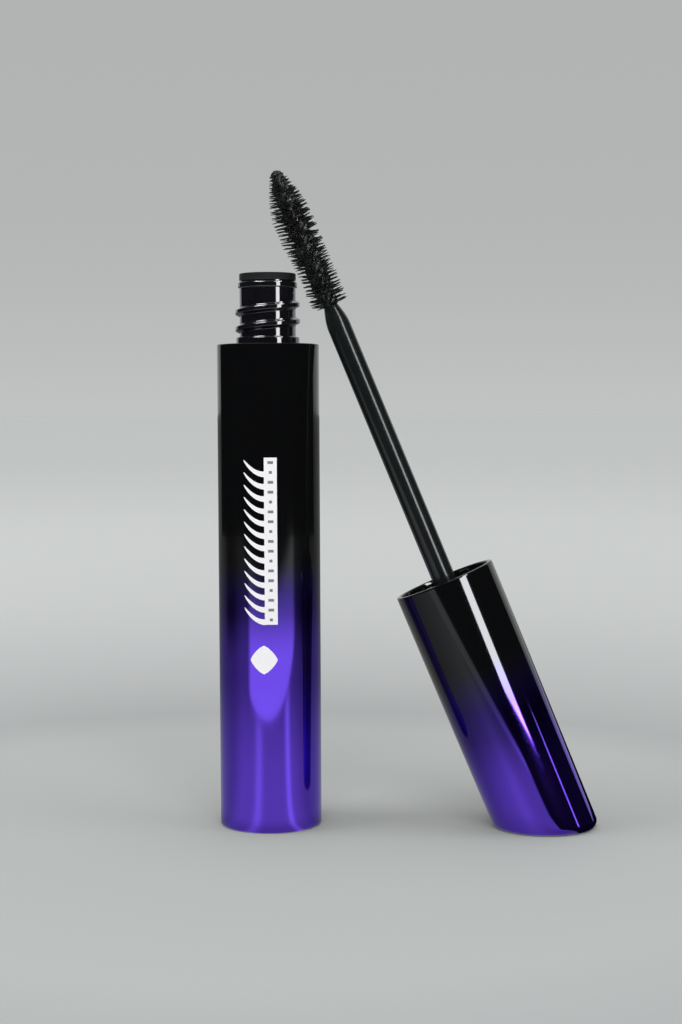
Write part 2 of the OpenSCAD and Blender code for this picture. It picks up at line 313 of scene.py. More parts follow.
class Shader:
    """A material under construction."""

    def __init__(self, name: str) -> None:
        """Starts an empty node tree with a Principled surface."""
        self.material = bpy.data.materials.new(name)
        self.material.use_nodes = True
        self.tree = self.material.node_tree
        self.tree.nodes.clear()
        self.surface = self.node("ShaderNodeBsdfPrincipled")
        output = self.node("ShaderNodeOutputMaterial")
        self.tree.links.new(self.surface.outputs["BSDF"], output.inputs["Surface"])

    def node(self, kind: str, settings: Optional[dict[str, Any]] = None,
             inputs: Optional[dict[Any, Any]] = None) -> Any:
        """Adds a node.

        Args:
            kind: type of the node.
            settings: properties set before the inputs, and "stops" for a ramp's (place, colour) pairs.
            inputs: a number, colour, Value or socket for each input, by name or place.

        Returns:
            The node.
        """
        made = self.tree.nodes.new(kind)
        for name, setting in (settings or {}).items():
            if name == "stops":
                self.set_stops(made.color_ramp, setting)
            else:
                setattr(made, name, setting)
        for name, value in (inputs or {}).items():
            self.put(made.inputs[name], value)
        return made

    @staticmethod
    def set_stops(ramp: Any, stops: list[tuple[float, tuple[float, ...]]]) -> None:
        """Gives a ramp its stops, which run from low to high."""
        for place, colour in stops[1:-1]:
            ramp.elements.new(place).color = (*colour, 1.0)
        ramp.elements[0].position, ramp.elements[0].color = stops[0][0], (*stops[0][1], 1.0)
        ramp.elements[-1].position, ramp.elements[-1].color = stops[-1][0], (*stops[-1][1], 1.0)

    def put(self, socket: Any, value: Any) -> None:
        """Links a Value or socket to an input, or sets a constant on it."""
        if isinstance(value, Value):
            value = value.socket
        if isinstance(value, bpy.types.NodeSocket):
            self.tree.links.new(value, socket)
        elif isinstance(value, tuple) and socket.type == "RGBA":
            socket.default_value = (*value, 1.0)[:4]
        else:
            socket.default_value = value

    def set(self, **inputs: Any) -> None:
        """Sets inputs of the surface, whose spaces are written as underscores."""
        for name, value in inputs.items():
            self.put(self.surface.inputs[name.replace("_", " ")], value)

    def place(self) -> Any:
        """Returns the socket of the surface's point in the part's frame, in metres."""
        return self.node("ShaderNodeTexCoord").outputs["Object"]

    def along(self, direction: tuple[float, float, float], start: tuple[float, float, float]) -> Value:
        """Returns the distance in millimetres from start along a direction."""
        offset = self.node("ShaderNodeVectorMath", {"operation": "SUBTRACT"},
                           {0: self.place(), 1: tuple(c * METRES_PER_MM for c in start)})
        dot = self.node("ShaderNodeVectorMath", {"operation": "DOT_PRODUCT"},
                        {0: offset.outputs[0], 1: tuple(c / METRES_PER_MM for c in direction)})
        return Value(self, dot.outputs["Value"])

    def noise(self, size: float, detail: float = 2.0, stretch: tuple[float, float, float] = (1, 1, 1),
              roughness: float = 0.5) -> Value:
        """Returns noise from 0 to 1 whose cells are about size millimetres, times stretch on each axis."""
        scale = tuple(1.0 / (size * METRES_PER_MM * s) for s in stretch)
        mapped = self.node("ShaderNodeMapping", {}, {"Vector": self.place(), "Scale": scale})
        made = self.node("ShaderNodeTexNoise", {"noise_dimensions": "3D"},
                         {"Vector": mapped.outputs[0], "Scale": 1.0, "Detail": detail,
                          "Roughness": roughness})
        return Value(self, made.outputs[0])

    def blend(self, factor: Any, first: Any, second: Any) -> Any:
        """Returns the colour that goes from first to second as factor goes from 0 to 1."""
        made = self.node("ShaderNodeMix", {"data_type": "RGBA"})
        colours = [s for s in made.inputs if s.type == "RGBA"]
        self.put(made.inputs[0], factor)
        self.put(colours[0], first)
        self.put(colours[1], second)
        return next(s for s in made.outputs if s.type == "RGBA")

    def glow(self, strength: Value, clear: bool = False) -> None:
        """Makes the whole material an emission of white light, on clear film or on nothing."""
        light = self.node("ShaderNodeEmission", {}, {"Strength": strength}).outputs[0]
        if clear:
            both = self.node("ShaderNodeAddShader", {}, {
                0: light, 1: self.node("ShaderNodeBsdfTransparent").outputs[0]})
            light = both.outputs[0]
        output = next(n for n in self.tree.nodes if n.type == "OUTPUT_MATERIAL")
        self.tree.links.new(light, output.inputs["Surface"])

    def bump(self, height: Value, distance: float, strength: float = 1.0) -> Any:
        """Returns a bumped normal, for a height of 0 to 1 that stands for distance millimetres."""
        return self.node("ShaderNodeBump", {}, {
            "Height": height, "Distance": distance * METRES_PER_MM, "Strength": strength,
        }).outputs[0]


@dataclass(frozen=True)
class OmbreLacquer:
    """Metallised lacquer that goes from violet at one end to black at the other."""

    name: str
    start: tuple[float, float, float]
    direction: tuple[float, float, float]
    violet_until: float
    black_from: float
    violet: tuple[float, float, float] = (0.132, 0.053, 0.74)
    indigo: tuple[float, float, float] = (0.028, 0.015, 0.16)
    black: tuple[float, float, float] = (0.022, 0.023, 0.025)
    coat: float = 0.3

    def material(self) -> bpy.types.Material:
        """Builds the material, whose edge of colour drifts a little and whose coat has faint ripples."""
        shader = Shader(self.name)
        height = shader.along(self.direction, self.start)
        drift = (shader.noise(9.0, 1.0, (1.0, 1.0, 2.5)) - 0.5) * 3.0
        share = (height + drift).step(self.violet_until, self.black_from)
        ramp = shader.node("ShaderNodeValToRGB", {"stops": [
            (0.0, self.violet), (0.4, tuple(0.42 * v for v in self.violet)),
            (0.72, self.indigo), (1.0, self.black)]}, {"Fac": share})
        haze = shader.noise(0.35, 3.0)
        ripple = shader.noise(2.2, 2.0, (1.0, 1.0, 4.0))
        shader.set(Base_Color=ramp.outputs[0], Metallic=0.985 - share.step(0.5, 1.0) * 0.135,
                   Roughness=haze * 0.04 + 0.055,
                   Coat_Weight=self.coat, Coat_Roughness=0.02, Coat_IOR=1.5,
                   Normal=shader.bump(ripple, 0.004, 0.35))
        return shader.material


@dataclass(frozen=True)
class MouldedPlastic:
    """Moulded plastic with a fine texture and slow variation of its gloss."""

    name: str
    colour: tuple[float, float, float]
    rough: float
    grain: float = 0.25
    depth: float = 0.004
    coat: float = 0.0
    specular: float = 0.5

    def material(self) -> bpy.types.Material:
        """Builds the material: colour and roughness drift by a few hundredths around their own value."""
        shader = Shader(self.name)
        cloud = shader.noise(3.5, 2.0)
        grain = shader.noise(self.grain, 3.0)
        lighter = tuple(min(1.0, 1.5 * c + 0.002) for c in self.colour)
        shader.set(Base_Color=shader.blend(cloud, self.colour, lighter),
                   Roughness=((cloud - 0.5) * (0.25 * self.rough) + grain * (0.2 * self.rough)
                              + 0.9 * self.rough),
                   Coat_Weight=self.coat, Coat_Roughness=0.03, Specular_IOR_Level=self.specular,
                   Normal=shader.bump(grain, self.depth, 0.6))
        return shader.material


@dataclass(frozen=True)
class WetProduct:
    """Black paste, in wet beads over a duller film."""

    name: str
    colour: tuple[float, float, float] = (0.004, 0.004, 0.0045)
    film: tuple[float, float, float] = (0.010, 0.011, 0.011)
    bead: float = 0.55

    def material(self) -> bpy.types.Material:
        """Builds the material: the beads are glossy and raised, and the film between them is satin."""
        shader = Shader(self.name)
        beads = shader.noise(self.bead, 3.0, roughness=0.6).step(0.46, 0.62)
        grain = shader.noise(0.12, 2.0)
        shader.set(Base_Color=shader.blend(beads, self.film, self.colour),
                   Roughness=0.52 - beads * 0.36 + grain * 0.08, Coat_Weight=beads * 0.6,
                   Coat_Roughness=0.06, Specular_IOR_Level=0.5,
                   Normal=shader.bump(beads + grain * 0.5, 0.08, 0.7))
        return shader.material


@dataclass(frozen=True)
class PrintedInk:
    """Screen-printed ink, slightly uneven at its grain."""

    name: str
    colour: tuple[float, float, float]

    def material(self) -> bpy.types.Material:
        """Builds the material, a matte ink with a faint mottle."""
        shader = Shader(self.name)
        mottle = shader.noise(0.4, 2.0)
        darker = tuple(0.94 * c for c in self.colour)
        shader.set(Base_Color=shader.blend(mottle, self.colour, darker), Roughness=mottle * 0.15 + 0.38,
                   Normal=shader.bump(shader.noise(0.1, 2.0), 0.004, 0.5))
        return shader.material


@dataclass(frozen=True)
class StudioPaper:
    """Pale seamless paper whose tone changes slowly with the distance from the object: painted light, brighter far
    away where it stands for the lit backdrop.
    """

    name: str = "studio_paper"
    half_way: float = 350.0

    def material(self) -> bpy.types.Material:
        """Builds the material: the tone, painted light, follows a ramp over r / (r + half_way), r being the
        distance.
        """
        shader = Shader(self.name)
        flat = shader.node("ShaderNodeVectorMath", {"operation": "MULTIPLY"},
                           {0: shader.place(), 1: (1000.0, 1000.0, 0.0)})
        length = shader.node("ShaderNodeVectorMath", {"operation": "LENGTH"}, {0: flat.outputs[0]})
        distance = Value(shader, length.outputs["Value"])
        share = distance / (distance + self.half_way)
        # Painted light: even near the object, a slightly darker band about 110 mm out, then brighter and brighter
        # out to the far floor.
        tone = shader.node("ShaderNodeValToRGB", {"stops": [
            (0.0, (0.465, 0.48, 0.475)), (0.2, (0.465, 0.48, 0.475)), (0.245, (0.425, 0.435, 0.435)),
            (0.33, (0.50, 0.51, 0.51)), (0.5, (0.63, 0.645, 0.64)), (0.7, (0.76, 0.775, 0.77)),
            (0.9, (0.81, 0.83, 0.82)), (1.0, (0.81, 0.83, 0.82))]}, {"Fac": share})
        mottle = shader.noise(1.2, 3.0)
        shader.set(Base_Color=tone.outputs[0], Roughness=mottle * 0.06 + 0.7, Specular_IOR_Level=0.05,
                   Normal=shader.bump(mottle, 0.02, 0.2))
        return shader.material


# ---------------------------------------------------------------- pieces


class Body(Enum):
    """The bodies that move."""

    TUBE = "tube"
    SEAL = "seal"
    APPLICATOR = "applicator"


class Slot(Enum):
    """The material slots of the record."""

    LACQUER = "lacquer"
    FOOT = "foot_plastic"
    NECK = "neck_plastic"
    WIPER = "wiper_rubber"
    FORMULA = "formula"
    LINER = "liner_plastic"
    SEAL = "seal_rubber"
    STEM = "stem_plastic"
    BRISTLE = "bristle"


@dataclass(frozen=True)
class Finished:
    """A piece with everything that the frame wants to know about it."""

    piece: bpy.types.Object
    material: bpy.types.Material
    body: Body
    slot: Slot
    replaces: tuple[str, ...] = ()

    def hand_over(self) -> None:
        """Dresses the piece, gives it to its body and hides the CAD nodes that it stands for."""
        self.piece.data.materials.append(self.material)
        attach(self.piece, self.body.value)
        if self.replaces:
            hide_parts(*self.replaces)
        LOG.info("%s: %d faces on %s", self.piece.name, len(self.piece.data.polygons), self.body.value)


def dress_node(node: str, material: bpy.types.Material) -> None:
    """Gives a CAD node that stays in view its material."""
    slots = frame["nodes"][node].material_slots
    for slot in slots:
        slot.material = material
    LOG.info("%s: kept, %d slot(s) dressed", node, len(slots))


@dataclass(frozen=True)
class Thread:
    """A right-handed ridge on a neck, whose height fades in and out at its ends."""

    pitch: float = 2.76
    turns: float = 1.78
    start: float = 122.0
    foot_z: float = 82.5
    height: float = 0.7
    crest: float = 0.24
    root: float = 0.74

    def rise(self, angles: Array, heights: Array) -> Array:
        """How far the ridge stands out.

        Its centre is at foot_z + pitch * turn, and its section falls smoothly from crest to root
        on either side of that.

        Args:
            angles: angle round the neck, in radians.
            heights: height on the neck.

        Returns:
            The share of the ridge's height, from 0 to 1.
        """
        best = np.zeros_like(heights)
        for winding in range(-1, math.ceil(self.turns) + 1):
            turn = (np.degrees(angles) - self.start) / 360.0 + winding
            across = np.abs(heights - self.foot_z - self.pitch * turn)
            fade = smooth_step(-0.02, 0.14, turn) * smooth_step(-0.02, 0.14, self.turns - turn)
            best = np.maximum(best, fade * (1.0 - smooth_step(self.crest, self.root, across)))
        return best


@dataclass
class Tube:
    """The tube: casing, plug, vial with its neck, wiper and formula."""

    diameter: float = 17.0
    height: float = 80.5
    wall: float = 0.9
    shoulder: float = 1.2
    foot_round: float = 0.5
    edge_round: float = 0.22
    plug_floor: float = 2.2
    plug_skirt: float = 6.0
    plug_wall: float = 0.8
    press_gap: float = 0.03
    vial_gap: float = 0.15
    vial_wall: float = 1.1
    vial_floor: float = 1.4
    neck_height: float = 11.7
    neck_diameter: float = 9.4
    neck_bore: float = 7.7
    bead_out: float = 0.25
    bead_height: float = 1.0
    collar_out: float = 0.6
    collar_height: float = 1.2
    flange: float = 1.2
    wiper_wall: float = 0.57
    wiper_length: float = 8.6
    wiper_cone: float = 3.6
    lip_diameter: float = 4.1
    thread: Thread = field(default_factory=Thread)

    @property
    def radius(self) -> float:
        """Outside radius."""
        return self.diameter / 2

    @property
    def rim_z(self) -> float:
        """Height of the neck's rim, under the wiper's flange."""
        return self.height + self.neck_height - self.flange

    def sleeve(self) -> Mesh:
        """Lacquered casing: the wall, rounded at the foot and the shoulder, and the shoulder turned in."""
        r, bore = self.radius, self.radius - self.wall
        mouth = self.neck_diameter / 2 + self.collar_out + 0.15
        turn, edge, z = self.foot_round, self.edge_round, self.height
        mesh = Mesh()
        lathe(mesh, outline(
            (bore + 0.15, 0.0), arc((r - turn, turn), turn, -90, 0), span((r, 1.5), (r, z - 1.0), 24),
            arc((r - edge, z - edge), edge, 0, 90), span((r - 0.8, z), (mouth + 0.4, z), 2),
            arc((mouth + 0.12, z - 0.12), 0.12, 90, 180, 4), (mouth, z - self.shoulder),
            (bore, z - self.shoulder), span((bore, z - 6.0), (bore, 0.15), 8)))
        return mesh

    def plug(self) -> Mesh:
        """Foot plug: a disc that stands on the table, with a skirt up inside the casing."""
        r = self.radius - self.wall - self.press_gap
        top, inner = self.plug_floor + self.plug_skirt, r - self.plug_wall
        recess = 0.25
        mesh = Mesh()
        lathe(mesh, outline(
            (0.0, recess), (r - 2.6, recess), (r - 2.3, 0.0), arc((r - 0.2, 0.2), 0.2, -90, 0, 4),
            (r, top - 0.3), (r - 0.15, top), (inner, top),
            arc((inner - 0.3, self.plug_floor + 0.3), 0.3, 0, -90, 4), (0.0, self.plug_floor)))
        return mesh

    def vial(self) -> Mesh:
        """Inner bottle: stepped foot, wall, shoulder, collar, threaded neck, bead and bore."""
        foot_z, step_z = self.plug_floor + 0.2, self.plug_floor + self.plug_skirt + 0.2
        foot_r = self.radius - self.wall - self.plug_wall - 2 * self.press_gap - 0.1
        wall_r = self.radius - self.wall - self.vial_gap
        shoulder_z = self.height - self.shoulder - 0.1
        neck_r, bore_r = self.neck_diameter / 2, self.neck_bore / 2
        collar_r, collar_z = neck_r + self.collar_out, self.height + self.collar_height
        bead_r, bead_low = neck_r + self.bead_out, self.rim_z - self.bead_height - 0.2
        in_r, foot_in_r = wall_r - self.vial_wall, foot_r - 0.6
        wall_top, bore_top, soft = shoulder_z - 5.2, shoulder_z - 9.2, 0.25
        profile = outline(
            (0.0, foot_z), arc((foot_r - 0.4, foot_z + 0.4), 0.4, -90, 0, 4), (foot_r, step_z),
            (wall_r - 0.2, step_z), (wall_r, step_z + 0.2),
            span((wall_r, step_z + 3), (wall_r, wall_top), 8),
            arc((wall_r - 1.0, shoulder_z - 1.0), 1.0, 0, 90, 6), (collar_r, shoulder_z),
            arc((collar_r - soft, collar_z - soft), soft, 0, 90, 5),
            arc((neck_r + 0.12, collar_z + 0.12), 0.12, 270, 180, 3),
            span((neck_r, collar_z + 0.18), (neck_r, bead_low - 0.2), 110),
            arc((neck_r + 0.04, bead_low - 0.04), 0.04, 180, 90, 3),
            arc((bead_r - 0.2, bead_low + 0.2), 0.2, -90, 0, 5),
            arc((bead_r - 0.3, bead_low + self.bead_height - 0.3), 0.3, 0, 90, 6),
            (neck_r - 0.05, self.rim_z),
            (bore_r, self.rim_z), span((bore_r, self.rim_z - 1), (bore_r, shoulder_z - 1.3), 8),
            (bore_r, shoulder_z - 1.5), (in_r - 0.8, shoulder_z - 1.5), (in_r, shoulder_z - 2.3),
            span((in_r, bore_top), (in_r, step_z + 1.6), 6), (foot_in_r, step_z + 1.2),
            (foot_in_r, foot_z + self.vial_floor + 0.4), (foot_in_r - 0.4, foot_z + self.vial_floor),
            (0.0, foot_z + self.vial_floor))

        def ridged(angles: Array, radii: Array, heights: Array) -> Array:
            """Raises the thread on the outside of the neck, and nowhere else."""
            on_neck = (radii > neck_r - 0.02) & (heights > collar_z) & (heights < bead_low)
            ridge = self.thread.rise(angles, heights) * self.thread.height
            return np.where(on_neck, np.maximum(radii, neck_r + ridge), radii)

        mesh = Mesh()
        lathe(mesh, profile, ridged, 288)
        return mesh

    def wiper(self) -> Mesh:
        """Soft wiper: flange on the rim, sleeve in the bore and a funnel that ends in the lip."""
        out_r, hold_r = self.neck_diameter / 2, self.neck_bore / 2 - self.press_gap
        bore_r, lip_r = hold_r - self.wiper_wall, self.lip_diameter / 2
        foot_z, top = self.rim_z - self.wiper_length, self.rim_z + self.flange
        cone_z = foot_z + self.wiper_cone
        mesh = Mesh()
        lathe(mesh, outline(
            (lip_r + 0.12, foot_z), (lip_r + 0.5, foot_z + 0.1),
            span((hold_r, cone_z), (hold_r, self.rim_z), 4),
            arc((out_r - 0.12, self.rim_z + 0.12), 0.12, -90, 0, 4),
            arc((out_r - 0.16, top - 0.16), 0.16, 0, 90, 5),
            arc((bore_r + 0.45, top - 0.45), 0.45, 90, 180, 6),
            span((bore_r, top - 1.5), (bore_r, cone_z), 4), (lip_r, foot_z + 0.6), (lip_r, foot_z + 0.1)))
        return mesh

    def build(self, lacquer: bpy.types.Material) -> None:
        """Builds and dresses every piece of the tube."""
        neck = MouldedPlastic("gloss_black_neck", (0.004, 0.004, 0.006), 0.06, 0.5, 0.003, 1.0)
        rubber = MouldedPlastic("charcoal_wiper", (0.010, 0.0115, 0.0115), 0.55, 0.12, 0.01)
        foot = MouldedPlastic("satin_foot", (0.012, 0.008, 0.02), 0.4, 0.2, 0.006)
        for name, mesh, material, slot, node in (
            ("lacquered_casing", self.sleeve(), lacquer, Slot.LACQUER, "outer_sleeve"),
            ("foot_plug", self.plug(), foot.material(), Slot.FOOT, "base_plug"),
            ("threaded_vial", self.vial(), neck.material(), Slot.NECK, "vial"),
            ("wiper_insert", self.wiper(), rubber.material(), Slot.WIPER, "wiper"),
        ):
            Finished(mesh.make(name, stay), material, Body.TUBE, slot, (node,)).hand_over()
        dress_node("mascara_formula", WetProduct("paste_in_the_vial", bead=2.5).material())


@dataclass
class FrontPrint:
    """White print on the front of the tube: a bar with dashes, a column of lashes and a lozenge."""

    radius: float = 8.5
    proud: float = 0.025
    buried: float = 0.03
    bar: tuple[float, float] = (0.2, 2.3)
    heights: tuple[float, float] = (34.6, 61.9)
    lashes: int = 13
    lash_reach: float = 3.5
    lash_sweep: float = 2.3
    lash_width: float = 0.42
    dashes: int = 17
    dash_widths: tuple[float, float, float] = (0.5, 0.9, 0.9)
    dash_share: tuple[float, float] = (0.36, 0.28)
    lozenge_half: tuple[float, float] = (2.2, 2.35)
    lozenge_z: float = 28.8

    def wrap(self, across: Array, heights: Array, lift: float) -> Array:
        """Wraps flat points on the front: x = r sin(across / R), y = -r cos(across / R), r = R + lift."""
        angles = across / self.radius
        r = self.radius + lift
        return np.stack([r * np.sin(angles), -r * np.cos(angles), heights + 0.0 * angles], -1)

    def patch(self, mesh: Mesh, across: Array, heights: Array, extra: float = 0.0) -> None:
        """Adds a thin slab over a grid of flat points, whose columns run a quarter turn left of its rows."""
        slab(mesh, self.wrap(across, heights, self.proud + extra), self.wrap(across, heights, -self.buried))

    def white(self) -> Mesh:
        """The bar, the lashes and the lozenge.

        A lash runs from the bar, across(t) = -reach t, height(t) = foot + sweep t^2, and narrows as
        (1 - t)^0.6. The lozenge's half width is that of |x|^1.3 + |z|^1.3 = 1.
        """
        mesh = Mesh()
        right, up = np.meshgrid(np.linspace(0, 1, 9), np.linspace(0, 1, 2), indexing="ij")
        low, high = self.heights
        self.patch(mesh, self.bar[0] + (self.bar[1] - self.bar[0]) * right, low + (high - low) * up)
        t, side = np.meshgrid(np.linspace(0, 1, 15), np.array([1.0, -1.0]), indexing="ij")
        room = high - low - self.lash_sweep - 2 * self.lash_width
        for foot in low + self.lash_width + room * np.linspace(0, 1, self.lashes):
            half = self.lash_width * np.maximum(1 - t, 0.0) ** 0.6 + 0.05
            slope = np.arctan2(2 * self.lash_sweep * t, self.lash_reach)
            across = self.bar[0] + 0.05 - self.lash_reach * t + side * half * np.sin(slope)
            self.patch(mesh, across, foot + self.lash_sweep * t ** 2 + side * half * np.cos(slope))
        side, v = np.meshgrid(np.linspace(-1, 1, 7), np.linspace(-1, 1, 17), indexing="ij")
        half = np.maximum(1 - np.abs(v) ** 1.3, 0.0) ** (1 / 1.3) + 0.02
        self.patch(mesh, self.lozenge_half[0] * half * side, self.lozenge_z + self.lozenge_half[1] * v)
        return mesh

    def grey(self) -> Mesh:
        """The column of short dashes on the bar, each a share of its own step in from the step's foot."""
        mesh = Mesh()
        right, up = np.meshgrid(np.linspace(0, 1, 3), np.linspace(0, 1, 2), indexing="ij")
        middle = (self.bar[0] + self.bar[1]) / 2
        step = (self.heights[1] - self.heights[0]) / self.dashes
        for place in range(self.dashes):
            width = self.dash_widths[place % 3]
            foot = self.heights[0] + step * (place + self.dash_share[0])
            self.patch(mesh, middle - width / 2 + width * right, foot + self.dash_share[1] * step * up, 0.02)
        return mesh

    def build(self) -> None:
        """Builds and dresses the print."""
        for name, mesh, colour in (
            ("front_print", self.white(), (0.99, 0.97, 1.0)),
            ("print_dashes", self.grey(), (0.22, 0.22, 0.24)),
        ):
            ink = PrintedInk(name + "_ink", colour).material()
            Finished(mesh.make(name, stay), ink, Body.TUBE, Slot.LACQUER).hand_over()


@dataclass
class Applicator:
    """The applicator: cap, inner cap, seal ring, stem and brush, on an axis that leans over the neck."""

    stand: tuple[float, float, float]
    axis: tuple[float, float, float]
    tube: Tube
    length: float = 44.8
    wall: float = 0.8
    draft: float = 0.6
    foot: float = 1.6
    foot_round: float = 1.2
    setback: float = 1.2
    liner_wall: float = 0.9
    liner_rim: float = 1.0
    ribs: int = 8
    rib: float = 0.8
    thread_gap: float = 0.15
    seal: float = 1.2
    close_gap: float = 0.15
    stem_diameter: float = 3.9
    root_diameter: float = 5.4
    root_length: float = 11.5
    barb_out: float = 0.15
    taper: float = 3.8
    stem_end: float = 2.5
    brush_length: float = 24.2
    brush_diameter: float = 6.4
    brush_tip: float = 1.8
    brush_point: float = 8.5
    hub: float = 2.9
    core: float = 1.5
    core_depth: float = 5.0
    tip_gap: float = 3.6
    row_pitch: float = 0.62
    bristles_per_row: int = 13
    first_row: float = 0.35
    belly_out: float = 0.55
    clump_pitch: float = 1.3

    @property
    def lean(self) -> float:
        """Angle of the axis from upright, in radians."""
        return math.atan2(-self.axis[0], self.axis[2])

    @property
    def seal_s(self) -> float:
        """Where the seal ring starts, so that it meets the wiper when the cap is closed."""
        return self.length - (self.tube.neck_height - self.close_gap) - self.seal - 0.05

    @property
    def brush_s(self) -> float:
        """Where the brush starts."""
        vial_floor = self.tube.plug_floor + 0.2 + self.tube.vial_floor
        reach = self.tube.height + self.close_gap - vial_floor - self.tip_gap
        return self.length + reach - self.brush_length

    def lean_over(self, points: Array) -> Array:
        """Leans points on the upright axis towards -X and moves them to the place of the cap's foot."""
        c, s = math.cos(self.lean), math.sin(self.lean)
        x, y, z = points.T
        return np.column_stack([x * c - z * s, y, x * s + z * c]) + np.array(self.stand)

    def cap_r(self, s: Any) -> Any:
        """Outside radius of the cap at s, which narrows towards the foot."""
        return self.tube.radius - (self.length - s) * self.draft / 2 / self.length

    def shell(self) -> Mesh:
        """Cap: a tapered wall cut off by the plane of the foot, with a fillet between them.

        At each angle the wall runs along w = (0, 1) and the foot along p, which lies in the plane, from
        their corner K. With a the angle between w and p and f the fillet's radius, the fillet starts and
        ends f / tan(a / 2) from K, and its centre is K + f (w + p) / (|w + p| sin(a / 2)).
        """
        angles = np.linspace(0, 2 * np.pi, SEGMENTS, endpoint=False)[:, None]
        slant = np.cos(angles) * math.tan(self.lean)
        radius = self.cap_r(0.0)
        corner = np.concatenate([radius + 0 * slant, -radius * slant], 1)
        p = np.concatenate([-1 + 0 * slant, slant], 1) / np.sqrt(1 + slant ** 2)
        w = np.array([[0.0, 1.0]])
        opening = np.arccos(p[:, 1:])
        f = self.foot_round
        tangent = f / np.tan(opening / 2)
        middle = (w + p) / np.linalg.norm(w + p, axis=1, keepdims=True)
        centre = corner + middle * f / np.sin(opening / 2)
        start, end = (corner + p * tangent - centre) / f, (corner + w * tangent - centre) / f
        sweep = np.pi - opening
        t = np.linspace(0, 1, 9)[None, :, None]
        sweep3 = sweep[:, :, None]
        fillet = centre[:, None] + f * (
            np.sin((1 - t) * sweep3) * start[:, None] + np.sin(t * sweep3) * end[:, None]) / np.sin(sweep3)
        base = fillet[:, :1] * np.linspace(0, 1, 5)[None, :-1, None]
        top, edge, wall = self.length, 0.28, self.wall
        rise = np.linspace(0, 1, 18)[None, 1:]
        heights = fillet[:, -1:, 1] + (top - edge - fillet[:, -1:, 1]) * rise
        side = np.stack([self.cap_r(heights), heights], -1)
        side[..., 0] -= (self.cap_r(fillet[:, -1, 1]) - fillet[:, -1, 0])[:, None] * (1 - rise)
        rim = outline(arc((self.tube.radius - edge, top - edge), edge, 0, 90, 5),
                      arc((self.tube.radius - wall + edge, top - edge), edge, 90, 180, 5))
        rim = np.broadcast_to(rim, (SEGMENTS, *rim.shape))
        floor_r = self.cap_r(self.foot) - wall
        floor_s = self.foot / math.cos(self.lean)
        low = floor_s - floor_r * slant
        heights = top - 1.0 + (low - top + 1.0) * np.linspace(0, 1, 12)[None]
        inside = np.stack([self.cap_r(heights) - wall, heights], -1)
        pole = np.broadcast_to(np.array([0.0, floor_s]), (SEGMENTS, 1, 2))
        mesh = Mesh()
        lathe(mesh, np.concatenate([base, fillet, side, rim, inside, pole], 1))
        return mesh

    def liner(self) -> Mesh:
        """Inner cap: rim, threaded bore, socket for the stem's root and the ribs that centre it."""
        thread = self.tube.thread
        bore_r = self.tube.neck_diameter / 2 + thread.height + self.thread_gap
        minor_r = self.tube.neck_diameter / 2 + self.tube.bead_out + self.thread_gap
        wall_r, floor_s = bore_r + self.liner_wall, self.seal_s - 0.05
        rim_s = self.length - self.setback
        root_s = floor_s - self.root_length
        low, socket_r = root_s - 1.0, self.root_diameter / 2 + 1.0
        root_r = self.root_diameter / 2 + self.tube.press_gap
        hold_r = self.cap_r(low) - self.wall - self.tube.press_gap
        rim_low = rim_s - self.liner_rim
        barb_s = root_s + self.root_length / 2
        groove = root_r + self.barb_out
        profile = outline(
            (0.0, low), (socket_r - 0.2, low), (socket_r, low + 0.2), (socket_r, floor_s - 1.2),
            (wall_r - 0.3, floor_s - 1.2), (wall_r, floor_s - 0.9),
            span((wall_r, floor_s), (wall_r, rim_low), 6),
            (hold_r - 0.1, rim_low), (hold_r, rim_low + 0.1), arc((hold_r - 0.2, rim_s - 0.2), 0.2, 0, 90, 4),
            arc((bore_r + 0.3, rim_s - 0.3), 0.3, 90, 180, 4),
            span((bore_r, rim_s - 0.4), (bore_r, floor_s), 110),
            (root_r, floor_s), (root_r, barb_s + 0.5), (groove, barb_s + 0.45), (groove, barb_s - 0.45),
            (root_r, barb_s - 0.5), (root_r, root_s), (0.0, root_s))
        closed_z = self.length + self.close_gap + self.tube.height

        def ridged(angles: Array, radii: Array, heights: Array) -> Array:
            """Lowers the bore by the thread, half a pitch from the neck's own ridge when closed."""
            in_bore = (np.abs(radii - bore_r) < 1e-6) & (heights < rim_s - 0.4) & (heights > floor_s + 0.1)
            ridge = thread.rise(-angles % (2 * np.pi), closed_z - heights - thread.pitch / 2)
            return np.where(in_bore, bore_r - ridge * (bore_r - minor_r), radii)

        mesh = Mesh()
        lathe(mesh, profile, ridged, 192)
        heights = np.array([low, floor_s - 0.6, floor_s - 0.5, rim_low + 0.5])
        inner = np.repeat([self.root_diameter / 2 + 0.5, wall_r - 0.4], 2)
        for angle in np.arange(self.ribs) * 2 * np.pi / self.ribs:
            self._rib(mesh, float(angle), inner, hold_r, heights)
        return mesh

    def _rib(self, mesh: Mesh, angle: float, inner: Array, outer: float, heights: Array) -> None:
        """Adds one rib, a plate whose inner edge steps out inside the floor, clear of the bore."""
        out = np.column_stack([inner, np.full_like(inner, outer)])
        up = np.column_stack([heights, heights])
        faces = []
        for side in (-self.rib / 2, self.rib / 2):
            faces.append(np.stack([out * math.cos(angle) - side * math.sin(angle),
                                   out * math.sin(angle) + side * math.cos(angle), up], -1))
        slab(mesh, faces[1], faces[0])

    def ring(self) -> Mesh:
        """Seal ring: a flat ring with rounded edges."""
        outer = self.tube.neck_diameter / 2 + self.tube.bead_out
        inner, low, edge = self.stem_diameter / 2 + 0.1, self.seal_s, 0.2
        high = low + self.seal
        mesh = Mesh()
        lathe(mesh, outline(
            arc((inner + edge, low + edge), edge, 180, 270, 4),
            arc((outer - edge, low + edge), edge, 270, 360, 4),
            arc((outer - edge, high - edge), edge, 0, 90, 4),
            arc((inner + edge, high - edge), edge, 90, 180, 4)))
        return mesh

